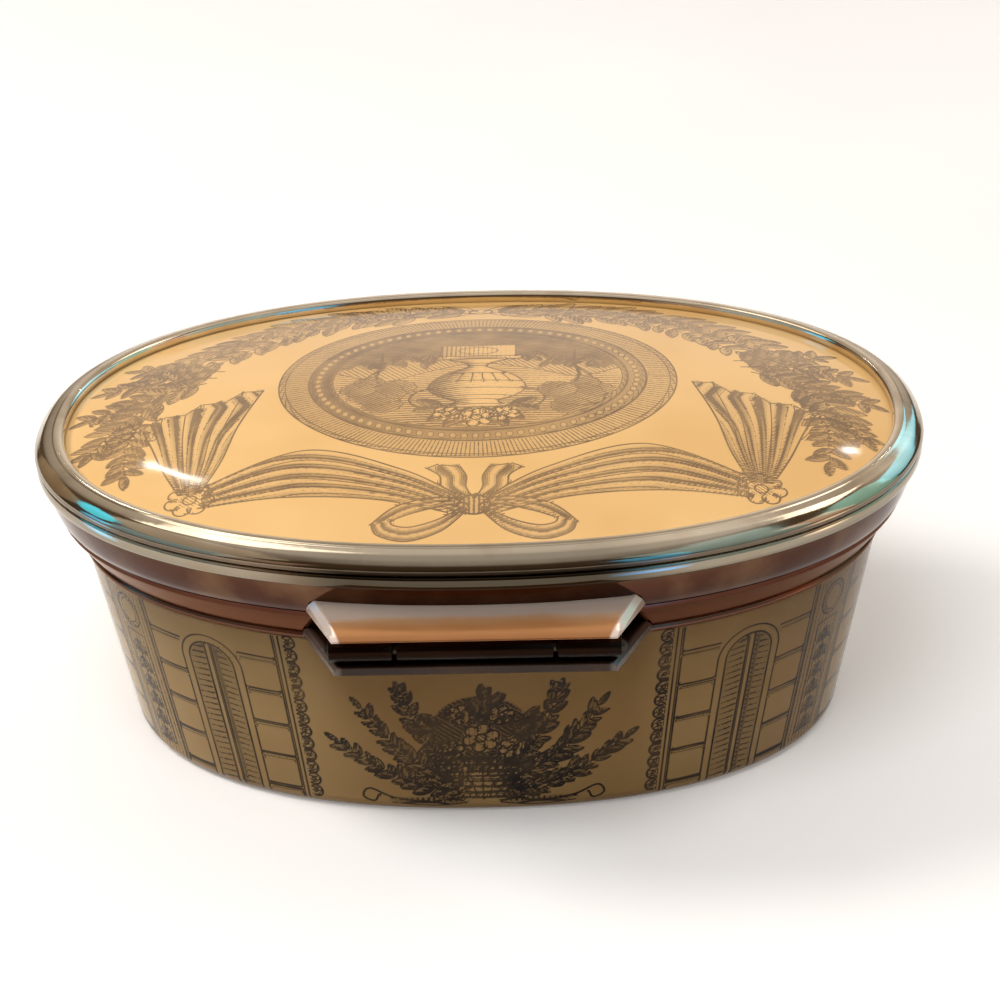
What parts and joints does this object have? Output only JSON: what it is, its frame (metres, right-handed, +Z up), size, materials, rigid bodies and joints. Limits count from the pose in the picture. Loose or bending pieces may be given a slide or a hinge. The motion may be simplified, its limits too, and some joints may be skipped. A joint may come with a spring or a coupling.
{
  "type": "enamel trinket box",
  "caption": "Oval enamelled copper trinket box with a domed hinged lid, polished metal mounts, a knuckle hinge at the back and a thumb lift at the front.",
  "frame": {"origin": "middle of the flat foot of the box, on the surface that it stands on", "axes": "+X along the oval's length, +Y from the hinge towards the thumb lift, +Z up"},
  "size_m": [0.057, 0.0445, 0.0224],
  "materials": {
    "printed_enamel": "glossy vitreous enamel with a sepia print under the glaze",
    "white_enamel": "glossy off-white vitreous enamel",
    "copper": "bare sheet copper, hidden between the enamels",
    "bright_metal": "polished silver-coloured plate, softly worn",
    "lower_metal": "polished, warm and darkened with age",
    "steel": "drawn wire"
  },
  "bodies": {
    "base": {"cup_enamel": "printed_enamel", "cup_copper": "copper", "cup_lining": "white_enamel", "base_mount": "lower_metal", "closing_collar": "bright_metal", "base_hinge_leaf": "lower_metal", "knuckle_left": "lower_metal", "knuckle_right": "lower_metal", "hinge_pin": "steel"},
    "lid": {"lid_mount": "bright_metal", "lid_enamel": "printed_enamel", "lid_copper": "copper", "lid_lining": "white_enamel", "lid_hinge_leaf": "lower_metal", "knuckle_centre": "lower_metal", "thumb_lift": "bright_metal"}
  },
  "joints": [
    {"name": "lid_hinge", "type": "hinge", "parent": "base", "child": "lid", "pos_m": [0, -0.0214, 0.0157], "axis": [1, 0, 0], "range_deg": [0, 105]}
  ]
}
